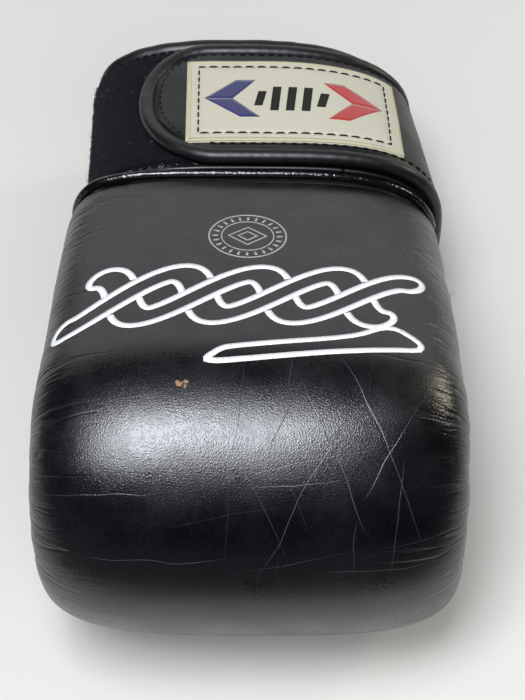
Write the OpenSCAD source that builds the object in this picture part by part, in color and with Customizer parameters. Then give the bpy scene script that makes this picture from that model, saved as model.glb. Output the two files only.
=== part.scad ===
// Open-thumb bag glove: a curled, padded mitt with a wide wrap-around wrist cuff.
// The glove lies palm down. +Z is up, +Y runs from the fist back to the cuff's rim,
// +X is the thumb side, and the origin is the middle of the flat that the fist rests on.
// Every panel is a sheet laid on one of two forms, the mitt's or the cuff's. A point on a
// form is given by its place along the form, its angle round the section (0 on the thumb
// side, 90 on the back of the hand) and its depth under the outer skin.

/* [Mitt] */
// Height of the padded fist
fist_h = 106; // [100:1:112]
// Width of the mitt over the leather
mitt_w = 133; // [126:1:138]
// Distance from the fist's centre back to the wrist seam
wrist_y = 104; // [98:1:108]
// Height of the back of the hand at the wrist seam
wrist_h = 79.5; // [76:0.5:82]
// Thickness of the curled finger roll, foam and finger pocket together
roll_t = 47; // [44:1:48]
// Foam over the knuckles and fingers
knuckle_foam_t = 21; // [15:1:23]
// Foam over the wrist end of the back of the hand
hand_foam_t = 8; // [6:1:12]

/* [Cuff] */
// Length of the cuff's padded wall
cuff_len = 77; // [74:1:84]
// Width of the cuff at the wrist seam
cuff_w = 122; // [118:1:126]
// Width of the cuff at its rim
rim_w = 116; // [112:1:118]
// Height of the cuff's top at its rim
rim_h = 64.5; // [61:0.5:68]
// Foam inside the cuff's wall
cuff_foam_t = 5; // [3:0.5:6]

/* [Strap] */
// Width of the strap's leather between its rolled edges
strap_w = 62; // [58:1:63]
// How far the strap's tip reaches past the middle of the cuff
strap_reach = 35; // [31:1:38]
// How far the woven label reaches past the middle of the cuff
label_reach = 23; // [18:1:24]

/* [Leather] */
// Thickness of the leather panels
leather_t = 1.6; // [1.2:0.1:1.8]
// Thickness of the lining cloth
lining_t = 0.8; // [0.6:0.1:1]

/* [Hidden] */

leather_colour = [0.07, 0.07, 0.08];
binding_colour = [0.12, 0.12, 0.13];
lining_colour = [0.16, 0.16, 0.18];
loop_colour = [0.05, 0.05, 0.09];
label_colour = [0.86, 0.84, 0.76];
foam_colours = [[0.45, 0.46, 0.5], [0.3, 0.32, 0.36], [0.62, 0.56, 0.42]];

ply_gap = 0.15;       // clear air between neighbouring plies
touch_gap = 0.4;      // clear air between the ends of panels sewn edge to edge

// ---- helpers ----
function mix(a, b, t) = a + (b - a) * t;
function clamp01(t) = max(0, min(1, t));
function ease(t) = let (c = clamp01(t)) c * c * (3 - 2 * c);
function unit(v) = v / norm(v);
function bend(x, power) = sign(x) * pow(abs(x), power);

// Closes the space between two equal grids of points.
module sheet(top, bottom, flip = false) {
    rows = len(top) - 1;
    cols = len(top[0]) - 1;
    size = (rows + 1) * (cols + 1);
    function at(i, j, k) = k * size + i * (cols + 1) + j;
    function quad(a, b, c, d) = [[a, b, c], [a, c, d]];
    faces = [
        for (i = [0:rows - 1], j = [0:cols - 1])
            each concat(quad(at(i, j, 0), at(i + 1, j, 0), at(i + 1, j + 1, 0), at(i, j + 1, 0)),
                        quad(at(i, j, 1), at(i, j + 1, 1), at(i + 1, j + 1, 1), at(i + 1, j, 1))),
        for (i = [0:rows - 1])
            each concat(quad(at(i + 1, 0, 0), at(i, 0, 0), at(i, 0, 1), at(i + 1, 0, 1)),
                        quad(at(i, cols, 0), at(i + 1, cols, 0), at(i + 1, cols, 1), at(i, cols, 1))),
        for (j = [0:cols - 1])
            each concat(quad(at(0, j, 0), at(0, j + 1, 0), at(0, j + 1, 1), at(0, j, 1)),
                        quad(at(rows, j + 1, 0), at(rows, j, 0), at(rows, j, 1), at(rows, j + 1, 1)))
    ];
    polyhedron(
        [for (g = [top, bottom]) for (row = g) each row],
        [for (f = faces) flip ? [f[2], f[1], f[0]] : f],
        convexity = 8
    );
}

// Skins a list of equal closed rings; an open loft gets a flat cap at each end.
module loft(rings, closed = false) {
    sides = len(rings[0]);
    count = len(rings);
    last = closed ? count - 1 : count - 2;
    function at(i, j) = (i % count) * sides + (j % sides);
    faces = [
        for (i = [0:last], j = [0:sides - 1])
            each [[at(i, j), at(i, j + 1), at(i + 1, j + 1)], [at(i, j), at(i + 1, j + 1), at(i + 1, j)]],
        if (!closed) each [[for (j = [sides - 1:-1:0]) at(0, j)], [for (j = [0:sides - 1]) at(count - 1, j)]]
    ];
    polyhedron([for (r = rings) each r], faces, convexity = 8);
}

// A round cord along a path of [point, outward direction] pairs.
module cord(path, r, sides = 8, closed = false) {
    n = len(path);
    function tangent(i) = closed
        ? unit(path[(i + 1) % n][0] - path[(i + n - 1) % n][0])
        : unit(path[min(i + 1, n - 1)][0] - path[max(i - 1, 0)][0]);
    loft([
        for (i = [0:n - 1])
            let (t = tangent(i), side = unit(cross(t, path[i][1])), out = cross(side, t))
            [for (j = [0:sides - 1]) path[i][0] + r * (out * cos(360 * j / sides) + side * sin(360 * j / sides))]
    ], closed);
}

// ---- the mitt's form ----
sag = 1;                         // the form is this much lower than the table, and is flattened there
fist_r = (fist_h + sag) / 2;
half_w = mitt_w / 2;
wrist_pt = [wrist_y, wrist_h];
fist_centre = [0, fist_r - sag];
wrist_from_fist = wrist_pt - fist_centre;
run_lean = atan2(wrist_from_fist.y, wrist_from_fist.x) + acos(fist_r / norm(wrist_from_fist));
run_end = fist_centre + fist_r * [cos(run_lean), sin(run_lean)];
run_len = norm(wrist_pt - run_end);
arc_len = fist_r * (270 - run_lean) * PI / 180;
sole_len = 12;                   // flat underside behind the fist's lowest point
mitt_len = run_len + arc_len + sole_len;
wrist_lean = 84;                 // lean of the section at the wrist seam
heel_len = 18;                   // stretch of palm heel that rests on the table
spine_back = 29;                 // spine below the outer skin round the roll
spine_wrist = 38;                // and at the wrist seam
fist_square = 3.6;               // superellipse power of the section at the fist
wrist_square = [3.1, 4.6];       // and at the wrist, on the thumb side and on the little finger's
tuck_depth = 3;                  // the skin turns in to the seam at each end
tuck_len = 6;

// Centre line of the back: a straight run, then round the fist, then the flat sole.
function crown(s) =
    s < run_len ? mix(wrist_pt, run_end, s / run_len)
    : s < run_len + arc_len ? let (a = lean(s)) fist_centre + fist_r * [cos(a), sin(a)]
    : [s - run_len - arc_len, -sag];
function lean(s) =
    s < run_len ? mix(wrist_lean, run_lean, ease(s / run_len))
    : min(270, run_lean + (s - run_len) / fist_r * 180 / PI);
function heel_thickness(s) = (crown(s).y + sag) / sin(lean(s));
function thickness(s) =
    s < heel_len ? heel_thickness(s)
    : mix(heel_thickness(heel_len), roll_t, ease((s - heel_len) / (run_len - heel_len)));
function back_depth(s) = mix(spine_wrist, spine_back, ease(s / run_len));
function palm_depth(s) = thickness(s) - back_depth(s);
function tuck(s) = tuck_depth * (exp(-s / tuck_len) + exp((s - mitt_len) / tuck_len));

// depth is [under the sides, under the back, under the palm]
function mitt_pt(s, angle, depth = [0, 0, 0]) =
    let (
        power = 2 / mix(cos(angle) >= 0 ? wrist_square[0] : wrist_square[1], fist_square, ease(s / run_len)),
        normal = [cos(lean(s)), sin(lean(s))],
        spine = crown(s) - back_depth(s) * normal,
        t = tuck(s),
        h = sin(angle) >= 0 ? back_depth(s) - depth.y - t : palm_depth(s) - depth.z - t,
        rise = h * bend(sin(angle), power)
    )
    [
        (half_w - depth.x - t) * bend(cos(angle), power),
        spine.x + rise * normal.x,
        max(spine.y + rise * normal.y, min(depth.y, depth.z))
    ];

// depths of the plies
side_foam_t = 7.5;
palm_heel_foam_t = 9;
grip_foam_t = 2.4;
skin_in = leather_t + ply_gap;
function back_foam(s) = mix(hand_foam_t, knuckle_foam_t, ease(s / run_len));
function palm_foam_at(s) = mix(palm_heel_foam_t, grip_foam_t, ease(s / run_len));
function foam_depth(s, part) = [
    skin_in + side_foam_t * part, skin_in + back_foam(s) * part, skin_in + palm_foam_at(s) * part
];
function deeper(depth, by) = [for (d = depth) d + by];

// thumb hole: the lens between the dorsal and palm covers on the thumb side
hole_from = 8;
hole_to = 82;
seam_angle = 30;                 // side seams lie this far under the middle of each side
hole_rise = 27;
hole_drop = 22;
function hole(s) = ease(min(s - hole_from, hole_to - s) / 22);
function back_from(s) = -seam_angle + hole_rise * hole(s);
function palm_to(s) = 360 - seam_angle - hole_drop * hole(s);

// Stations along the mitt, shared by all its plies so that facing plies stay parallel.
foam_end = 1.2;
end_stations = [foam_end, 4, 9];
rest_from = -8;                  // the flat that the fist rests on, from its lowest point
rest_to = 3;
rest_s = run_len + arc_len;
run_steps = 7;
arc_steps = 17;
crease_s = run_len + 4;          // where the palm cover meets the finger grip cover
stations = concat(
    [0], end_stations,
    [for (i = [1:run_steps]) mix(9, run_len, i / run_steps)],
    [crease_s],
    [for (i = [1:arc_steps]) mix(crease_s, rest_s + rest_from, i / arc_steps)],
    [rest_s + rest_to, mitt_len - 4, mitt_len - foam_end, mitt_len]
);
last_station = len(stations) - 1;
crease_at = 4 + run_steps;
back_cols = 19;
palm_cols = 10;
ply_trim = 1.5;                  // degrees between the side seams and the edges of the plies

function grid(first, last, cols, from, to, depth) = [
    for (i = [first:last]) let (s = stations[i])
        [for (j = [0:cols]) mitt_pt(s, mix(from(s), to(s), j / cols), depth(s))]
];
// A ply over the back of the hand and round the roll, between two stations.
module back_ply(outer, inner, first = 1, last = last_station - 1) {
    from = function(s) back_from(s) + ply_trim;
    to = function(s) 180 + seam_angle - ply_trim;
    sheet(grid(first, last, back_cols, from, to, outer), grid(first, last, back_cols, from, to, inner));
}
// A ply over the palm side.
module palm_ply(outer, inner, first = 1, last = last_station - 1) {
    from = function(s) 180 + seam_angle + ply_trim;
    to = function(s) palm_to(s) - ply_trim;
    sheet(grid(first, last, palm_cols, from, to, outer), grid(first, last, palm_cols, from, to, inner));
}

// ---- mitt nodes ----
skin = function(s) [0, 0, 0];
skin_back = function(s) deeper([0, 0, 0], leather_t);
lining_top = function(s) foam_depth(s, 1);
lining_back = function(s) deeper(foam_depth(s, 1), lining_t);

module dorsal_cover() {
    color(leather_colour) back_ply(skin, skin_back, 0, last_station);
}
module palm_cover() {
    color(leather_colour) palm_ply(skin, skin_back, 0, crease_at);
}
module finger_grip_cover() {
    color(leather_colour) palm_ply(skin, skin_back, crease_at + 1, last_station);
}
module fingertip_cap() {
    cap_angles = [for (a = [0:15:345]) a];
    function ring(out, depth) = [for (a = cap_angles) mitt_pt(mitt_len, a, deeper([0, 0, 0], depth)) + [0, out, 0]];
    color(leather_colour) loft([ring(touch_gap, 0), ring(touch_gap + 1.2, 0.6), ring(touch_gap + 2.2, 4)]);
}
module knuckle_foam(layer) {
    outer = function(s) foam_depth(s, layer / 3);
    inner = function(s) deeper(foam_depth(s, (layer + 1) / 3), -ply_gap);
    color(foam_colours[layer]) back_ply(outer, inner);
}
module knuckle_foam_outer() { knuckle_foam(0); }
module knuckle_foam_core() { knuckle_foam(1); }
module knuckle_foam_inner() { knuckle_foam(2); }
module palm_foam() {
    outer = function(s) foam_depth(s, 0);
    inner = function(s) deeper(foam_depth(s, 1), -ply_gap);
    color(foam_colours[1]) palm_ply(outer, inner, 1, crease_at - 1);
}
module hand_lining_back() { color(lining_colour) back_ply(lining_top, lining_back); }
module hand_lining_palm() { color(lining_colour) palm_ply(lining_top, lining_back); }

grip_bar_r = fist_r - roll_t - 1.8;
grip_cover_r = grip_bar_r + 1.2;
grip_bar_len = 96;
module along_grip(length) {
    translate([0, fist_centre.x, fist_centre.y]) rotate([0, 90, 0])
        linear_extrude(length, center = true) children();
}
module grip_bar() {
    color(foam_colours[0]) along_grip(grip_bar_len) circle(r = grip_bar_r, $fn = 48);
}
module grip_bar_cover() {
    color(leather_colour) along_grip(grip_bar_len)
        difference() {
            circle(r = grip_cover_r, $fn = 48);
            circle(r = grip_bar_r + ply_gap / 3, $fn = 48);
        }
}

// A place on the mitt's skin for a cord, lifted out of it.
function mitt_way(s, angle, lift) = [
    mitt_pt(s, angle, deeper([0, 0, 0], -lift)),
    unit(mitt_pt(s, angle, [-1, -1, -1]) - mitt_pt(s, angle, [1, 1, 1]))
];
hole_cord_r = 2;
module thumb_hole_binding() {
    steps = 14;
    end_inset = 8;               // the edge turns back this far inside the hole's corners
    lift = hole_cord_r + 0.25;
    function stop(i) = mix(hole_from + end_inset, hole_to - end_inset, i / steps);
    function corner(s) = [mitt_way(s, -seam_angle, lift)];
    upper = [for (i = [0:steps]) mitt_way(stop(i), back_from(stop(i)), lift)];
    lower = [for (i = [steps:-1:0]) mitt_way(stop(i), palm_to(stop(i)), lift)];
    far = corner(hole_to - end_inset / 2);
    near = corner(hole_from + end_inset / 2);
    color(binding_colour) cord(concat(upper, far, lower, near), hole_cord_r, closed = true);
}
seam_cord_r = 1.1;
module seam_piping(s_from, s_to, angle, steps) {
    color(binding_colour)
    cord([for (i = [0:steps]) mitt_way(mix(s_from, s_to, i / steps), angle, seam_cord_r + 0.2)], seam_cord_r, 6);
}
module pinky_seam_piping() { seam_piping(6, mitt_len - 3, 180 + seam_angle, 34); }
module thumb_seam_piping() { seam_piping(hole_to + 3, mitt_len - 3, -seam_angle, 26); }

// ---- the cuff's form ----
wrist_gap = 4.6;                 // channel between the mitt and the cuff, holding the piping
cuff_y = wrist_y + wrist_gap;
cuff_h = wrist_h - 2.4;
cuff_lift = 2.6;                 // the cuff clears the table by this much
cuff_shift = 1;                  // sideways shift of the section at the wrist seam
rim_shift = -5.2;                // and at the rim
cuff_square = [3.4, 3.4];        // superellipse powers at the wrist seam, thumb side and little finger's
rim_square = [2.35, 2.75];       // and at the rim
function square_at(x, part) = let (side = x >= 0 ? 0 : 1) mix(cuff_square[side], rim_square[side], part);
function cuff_pt(u, angle, depth = 0) =
    let (
        part = u / cuff_len,
        w = mix(cuff_w, rim_w, part) / 2,
        h = (mix(cuff_h, rim_h, part) - cuff_lift) / 2,
        power = 2 / square_at(cos(angle), part)
    )
    [
        mix(cuff_shift, rim_shift, part) + (w - depth) * bend(cos(angle), power),
        cuff_y + u,
        cuff_lift + h + (h - depth) * bend(sin(angle), power)
    ];
module cuff_sheet(cols, from, to, outer, inner, u_from = 0, u_to = cuff_len, rows = 1) {
    function layer(depth) = [
        for (i = [0:rows]) let (u = mix(u_from, u_to, i / rows))
            [for (j = [0:cols]) cuff_pt(u, mix(from, to, j / cols), depth)]
    ];
    sheet(layer(outer), layer(inner), flip = true);
}
function cuff_way(u, angle, lift) = [
    cuff_pt(u, angle, -lift),
    unit(cuff_pt(u, angle, -1) - cuff_pt(u, angle, 1))
];

// ---- wrist seam ----
piping_r = 1.7;
function seam_ring(angle, lift, out) = let (p = mitt_pt(0, angle, deeper([0, 0, 0], -lift)), c = cuff_pt(0, angle, -lift))
    mix(p, c, out);
module wrist_piping() {
    function bed(a, lift) = mitt_pt(0, a, deeper([0, 0, 0], -lift)) + [0, wrist_gap / 2, 0];
    ways = [for (a = [8:8:352]) [bed(a, 0.6), unit(bed(a, 2) - bed(a, 0))]];
    color(binding_colour) cord(ways, piping_r);
}
module wrist_gusset() {
    function rim(a, depth, out) = seam_ring(a, -depth, out);
    color(lining_colour) loft([
        for (a = [8:8:352]) [rim(a, 2.6, 0.12), rim(a, 2.6, 0.88), rim(a, 4, 0.88), rim(a, 4, 0.12)]
    ]);
}

// ---- cuff nodes ----
slit_low = -4;                   // lower edge of the thumb-side slit
lip_edge = 4;                    // its upper edge, on the lip
lip_hinge = 52;                  // where the lip bends
cuff_foam_in = skin_in + cuff_foam_t;
module cuff_wall(cols, outer, inner, trim = 0) {
    cuff_sheet(cols, lip_hinge + 0.3, 360 + slit_low - trim, outer, inner);
}
module cuff_shell() { color(leather_colour) cuff_wall(36, 0, leather_t); }
module cuff_foam() { color(foam_colours[1]) cuff_wall(32, skin_in, cuff_foam_in - ply_gap, 1); }
module cuff_lining() { color(lining_colour) cuff_wall(32, cuff_foam_in, cuff_foam_in + lining_t); }
module lip_wall(outer, inner, trim = 0) {
    cuff_sheet(8, lip_edge + trim, lip_hinge, outer, inner);
}
module lip_shell() { color(leather_colour) lip_wall(0, leather_t); }
module lip_foam() { color(foam_colours[1]) lip_wall(skin_in, cuff_foam_in - ply_gap, 1); }
module lip_lining() { color(lining_colour) lip_wall(cuff_foam_in, cuff_foam_in + lining_t); }

rim_r = 4;
rim_step = 6;
rim_gap = 0.6;                   // degrees between the two bindings at the lip's bend
module rim_cord(from, to) {
    depth = (cuff_foam_in + lining_t) / 2;
    out = [0, rim_r + 0.3, 0];
    steps = ceil((to - from) / rim_step);
    ways = [for (i = [0:steps]) cuff_way(cuff_len, mix(from, to, i / steps), -depth)];
    color(binding_colour) cord([for (w = ways) [w[0] + out, w[1]]], rim_r);
}
module cuff_rim_binding() { rim_cord(lip_hinge + rim_gap, 360 + slit_low); }
module lip_rim_binding() { rim_cord(lip_edge, lip_hinge - rim_gap); }
loop_in = -ply_gap;
loop_out = -1.5;
module loop_field() {
    color(loop_colour) cuff_sheet(24, lip_hinge + 4, 222, loop_out, loop_in, 4, cuff_len - 2.5);
}

// ---- strap ----
strap_near = 4.4;                // the strap starts this far from the wrist seam
strap_mid = strap_w / 2 + strap_near;
fold_tab = 13;                   // fold between the strap's side part and its tab
fold_root = -42;                 // fold between the side part and the sewn root
root_low = -66;                  // lower end of the sewn root
root_out = -2.3;
fold_gap = 0.4;                  // degrees on each side of a fold
hook_depths = [-2.4, -1.65];
backing_depths = [-3.4, -2.55];
filler_depths = [-4.8, -3.55];
face_depths = [-6.1, -4.95];
label_depths = [-7, -6.25];
strap_mid_depth = -4.2;
strap_cord_r = 2.2;
cord_gap = strap_cord_r + 0.5;
cord_fold = 1.5;                 // degrees that the rolled edges stop short of a fold

top_half_w = (cuff_w + rim_w) / 4;
function strap_square(x) = square_at(x, strap_mid / cuff_len);
function angle_at(x) = acos(bend(x / top_half_w, strap_square(x) / 2));
tip_len = 23;                    // length of the tab's rounded end
tip_power = 2.1;
tab_cols = 20;
plain_share = 0.45;              // share of the tab's stations before its rounded end
// Tab stations run from the fold at 0 to the tip at 1, closer together in the rounded end.
fold_x = top_half_w * bend(cos(fold_tab), 2 / strap_square(1));
tab_span = fold_x + strap_reach;
function station_x(t) = t < plain_share
    ? mix(fold_x, tip_len - strap_reach, t / plain_share)
    : tip_len * cos(90 * (t - plain_share) / (1 - plain_share)) - strap_reach;
function in_tip(x) = clamp01((tip_len - strap_reach - x) / tip_len);
function half_width_at(x) = strap_w / 2 * pow(max(0, 1 - pow(in_tip(x), tip_power)), 1 / tip_power);

function tab_row(t, trim, depth) =
    let (x = station_x(t) + trim * t, w = max(1.5, half_width_at(x - trim) - trim))
    [for (k = [-1:0.5:1]) cuff_pt(strap_mid + k * w, t == 0 ? fold_tab + fold_gap : angle_at(x), depth)];
module tab_ply(depths, trim) {
    top = [for (i = [0:tab_cols]) tab_row(i / tab_cols, trim, depths[0])];
    bottom = [for (i = [0:tab_cols]) tab_row(i / tab_cols, trim, depths[1])];
    sheet(top, bottom);
}
module turn_ply(depths) {
    function layer(depth) = [
        for (k = [-1, 1])
            [for (j = [0:10]) cuff_pt(strap_mid + k * strap_w / 2, mix(fold_root + fold_gap, fold_tab - fold_gap, j / 10), depth)]
    ];
    sheet(layer(depths[0]), layer(depths[1]), flip = true);
}
module strap_tab_face() { color(leather_colour) tab_ply(face_depths, 0); }
module strap_tab_filler() { color(foam_colours[2]) tab_ply(filler_depths, 0.5); }
module strap_tab_backing() { color(lining_colour) tab_ply(backing_depths, 0); }
module strap_turn_face() { color(leather_colour) turn_ply(face_depths); }
module strap_turn_filler() { color(foam_colours[2]) turn_ply(filler_depths); }
module strap_turn_backing() { color(lining_colour) turn_ply(backing_depths); }

module strap_tab_binding() {
    steps = 16;
    function edge(t, side) =
        let (
            x = station_x(t),
            w = half_width_at(x),
            half = strap_w / 2,
            out = unit([-pow(in_tip(x), tip_power - 1) / tip_len, 0, pow(w / half, tip_power - 1) / half]),
            u = strap_mid + side * (w + cord_gap * out.z),
            angle = t == 0 ? fold_tab + cord_fold : angle_at(x + cord_gap * out.x)
        )
        cuff_way(u, angle, -strap_mid_depth);
    near = [for (i = [0:steps]) edge(i / steps, -1)];
    far = [for (i = [steps - 1:-1:0]) edge(i / steps, 1)];
    color(binding_colour) cord(concat(near, far), strap_cord_r);
}
module strap_turn_bindings() {
    color(binding_colour)
    for (side = [-1, 1])
        cord([
            for (j = [0:10])
                cuff_way(strap_mid + side * (strap_w / 2 + cord_gap), mix(fold_root + cord_fold, fold_tab - cord_fold, j / 10),
                    -strap_mid_depth)
        ], strap_cord_r);
}
module strap_root() {
    color(leather_colour)
    cuff_sheet(6, root_low, fold_root - fold_gap, root_out, -ply_gap, strap_mid - strap_w / 2, strap_mid + strap_w / 2);
}
hook_inset = 5;                  // the hooks stop this far inside the strap's long edges
hook_from = 30;                  // and run from here to here, measured from the tip
hook_to = 16;
module hook_patch() {
    half = strap_w / 2 - hook_inset;
    function layer(depth) = [
        for (k = [-1, 1]) [for (x = [strap_reach - hook_from:-10:hook_to - strap_reach]) cuff_pt(strap_mid + k * half, angle_at(x), depth)]
    ];
    color(loop_colour) sheet(layer(hook_depths[0]), layer(hook_depths[1]), flip = true);
}
label_half = 25;                 // half the label's height
label_off = 2.6;                 // the label sits this much nearer the wrist than the strap's middle
label_fold = 39;                 // the label ends at this angle, short of the fold
module label_patch() {
    cols = 12;
    function layer(depth) = [
        for (k = [-1, 1]) [
            for (j = [0:cols])
                cuff_pt(strap_mid - label_off + k * label_half, mix(label_fold, angle_at(-label_reach), j / cols), depth)
        ]
    ];
    color(label_colour) sheet(layer(label_depths[0]), layer(label_depths[1]), flip = true);
}

dorsal_cover();
palm_cover();
finger_grip_cover();
fingertip_cap();
knuckle_foam_outer();
knuckle_foam_core();
knuckle_foam_inner();
palm_foam();
hand_lining_back();
hand_lining_palm();
grip_bar();
grip_bar_cover();
thumb_hole_binding();
pinky_seam_piping();
thumb_seam_piping();
wrist_piping();
wrist_gusset();
cuff_shell();
cuff_foam();
cuff_lining();
cuff_rim_binding();
loop_field();
strap_root();
lip_shell();
lip_foam();
lip_lining();
lip_rim_binding();
strap_turn_face();
strap_turn_filler();
strap_turn_backing();
strap_turn_bindings();
strap_tab_face();
strap_tab_filler();
strap_tab_backing();
strap_tab_binding();
hook_patch();
label_patch();
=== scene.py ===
"""Looks of an open-thumb bag glove: leather mitt, padded cuff, hook-and-loop strap with a woven label.

Lengths in the form functions are in millimetres, as in the part's source, and become metres when a
mesh is made. A place on a form is (s, u): s runs along the form and u is the arc across it from the
crown, positive towards the thumb side.
"""
import functools
import math

import bpy
import numpy as np
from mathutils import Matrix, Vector, noise

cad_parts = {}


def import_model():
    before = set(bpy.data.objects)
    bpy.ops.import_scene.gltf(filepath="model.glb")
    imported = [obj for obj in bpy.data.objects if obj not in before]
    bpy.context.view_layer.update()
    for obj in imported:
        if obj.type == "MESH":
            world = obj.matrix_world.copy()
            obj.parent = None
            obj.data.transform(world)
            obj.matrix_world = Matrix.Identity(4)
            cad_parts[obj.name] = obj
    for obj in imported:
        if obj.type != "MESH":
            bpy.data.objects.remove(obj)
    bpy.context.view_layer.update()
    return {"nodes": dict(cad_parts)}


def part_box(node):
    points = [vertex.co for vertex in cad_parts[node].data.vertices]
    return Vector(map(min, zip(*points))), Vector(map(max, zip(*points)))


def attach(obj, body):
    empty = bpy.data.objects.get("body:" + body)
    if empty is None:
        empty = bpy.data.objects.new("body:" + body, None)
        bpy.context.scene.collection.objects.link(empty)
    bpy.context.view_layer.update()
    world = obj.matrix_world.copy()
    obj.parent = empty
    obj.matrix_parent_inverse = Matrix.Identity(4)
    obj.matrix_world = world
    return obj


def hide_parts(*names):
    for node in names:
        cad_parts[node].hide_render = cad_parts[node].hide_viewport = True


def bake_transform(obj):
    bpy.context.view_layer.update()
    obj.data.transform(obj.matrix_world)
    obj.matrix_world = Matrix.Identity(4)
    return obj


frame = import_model()
MM = 0.001
TINY = 1e-9
rng = np.random.default_rng(7)

# ---------------- sizes, from the frame
mitt_lo, mitt_hi = (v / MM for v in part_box("dorsal_cover"))
cuff_lo, cuff_hi = (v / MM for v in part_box("cuff_shell"))
strap_lo, strap_hi = (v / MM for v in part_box("strap_turn_face"))
label_lo, label_hi = (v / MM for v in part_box("label_patch"))

SAG = 1.0                        # how far the fist's underside is flattened on the table
FIST_R = -mitt_lo.y
HALF_W = mitt_hi.x
WRIST_GAP = 4.6
WRIST_Y = cuff_lo.y - WRIST_GAP
WRIST_H = 79.5
ROLL_T = 47.0                    # thickness of the finger roll
CUFF_LEN = cuff_hi.y - cuff_lo.y
CUFF_HALF = 61.0
RIM_HALF = 58.0
CUFF_TOP = WRIST_H - 2.4
RIM_TOP = 64.5
CUFF_LIFT = 2.6
CUFF_SHIFT, RIM_SHIFT = 1.0, -5.2
CUFF_SQUARE, RIM_SQUARE = (3.4, 3.4), (2.35, 2.75)  # section powers: thumb side, little finger's side
WRIST_SQUARE = (3.1, 4.6)
FIST_SQUARE = 3.6
STRAP_MID = (strap_lo.y + strap_hi.y) / 2 - cuff_lo.y
STRAP_HALF = (strap_hi.y - strap_lo.y) / 2
STRAP_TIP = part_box("strap_tab_face")[0].x / MM

# ---------------- forms


def ease(t):
    t = np.clip(t, 0, 1)
    return t * t * (3 - 2 * t)


def bend(x, power):
    return np.sign(x) * np.abs(x) ** power


def unit(v):
    return v / (np.linalg.norm(v, axis=-1, keepdims=True) + TINY)


def run_lengths(path):
    """Distance along a path at each of its points."""
    return np.concatenate([[0], np.cumsum(np.linalg.norm(np.diff(path, axis=0), axis=1))])


FIST_Z = FIST_R - SAG
REACH = math.hypot(WRIST_Y, WRIST_H - FIST_Z)
RUN_LEAN = math.atan2(WRIST_H - FIST_Z, WRIST_Y) + math.acos(FIST_R / REACH)
RUN_END = (FIST_R * math.cos(RUN_LEAN), FIST_Z + FIST_R * math.sin(RUN_LEAN))
RUN_LEN = math.hypot(WRIST_Y - RUN_END[0], WRIST_H - RUN_END[1])
UNDER = math.radians(270)
ARC_LEN = FIST_R * (UNDER - RUN_LEAN)
SOLE_LEN = 12.0
MITT_LEN = RUN_LEN + ARC_LEN + SOLE_LEN
WRIST_LEAN = math.radians(84)
HEEL_LEN = 18.0
WRIST_BACK, FIST_BACK = 38, 29   # height of the back above the side seams


def lean(s):
    run = WRIST_LEAN + (RUN_LEAN - WRIST_LEAN) * ease(s / RUN_LEN)
    return np.where(s < RUN_LEN, run, np.minimum(RUN_LEAN + (s - RUN_LEN) / FIST_R, UNDER))


def crown(s):
    """Centre line of the back: (y, z) at s."""
    t = s / RUN_LEN
    a = lean(s)
    run = (WRIST_Y + (RUN_END[0] - WRIST_Y) * t, WRIST_H + (RUN_END[1] - WRIST_H) * t)
    arc = (FIST_R * np.cos(a), FIST_Z + FIST_R * np.sin(a))
    on_run, on_sole = s < RUN_LEN, s > RUN_LEN + ARC_LEN
    y = np.where(on_run, run[0], np.where(on_sole, s - RUN_LEN - ARC_LEN, arc[0]))
    return y, np.where(on_run, run[1], np.where(on_sole, -SAG, arc[1]))


def mitt_form(s, angle, depth=(0.0, 0.0, 0.0)):
    """depth is under the sides, under the back and under the palm."""
    t = ease(s / RUN_LEN)
    y, z = crown(s)
    a = lean(s)
    near_heel = np.minimum(s, HEEL_LEN)
    heel = (crown(near_heel)[1] + SAG) / np.sin(lean(near_heel))
    thick = heel + (ROLL_T - heel) * ease((s - HEEL_LEN) / (RUN_LEN - HEEL_LEN))
    back = WRIST_BACK + (FIST_BACK - WRIST_BACK) * t
    tuck = 3 * (np.exp(-s / 6) + np.exp((s - MITT_LEN) / 6))
    h = np.where(np.sin(angle) >= 0, back - depth[1], thick - back - depth[2]) - tuck
    wrist_square = np.where(np.cos(angle) >= 0, *WRIST_SQUARE)
    power = 2 / (wrist_square + (FIST_SQUARE - wrist_square) * t)
    rise = h * bend(np.sin(angle), power)
    x = (HALF_W - tuck - depth[0]) * bend(np.cos(angle), power)
    y = y - (back - rise) * np.cos(a)
    z = np.maximum(z - (back - rise) * np.sin(a), np.minimum(depth[1], depth[2]))
    return np.stack([x + 0 * y, y + 0 * x, z + 0 * x], -1)


def cuff_form(s, angle, depth=0.0):
    part = s / CUFF_LEN
    w = CUFF_HALF + (RIM_HALF - CUFF_HALF) * part
    h = (CUFF_TOP + (RIM_TOP - CUFF_TOP) * part - CUFF_LIFT) / 2
    thumb_side = np.cos(angle) >= 0
    square = np.where(thumb_side, *CUFF_SQUARE) * (1 - part) + np.where(thumb_side, *RIM_SQUARE) * part
    x = CUFF_SHIFT + (RIM_SHIFT - CUFF_SHIFT) * part + (w - depth) * bend(np.cos(angle), 2 / square)
    z = CUFF_LIFT + h + (h - depth) * bend(np.sin(angle), 2 / square)
    return np.stack([x, cuff_lo.y + s + 0 * x, z], -1)


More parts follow.
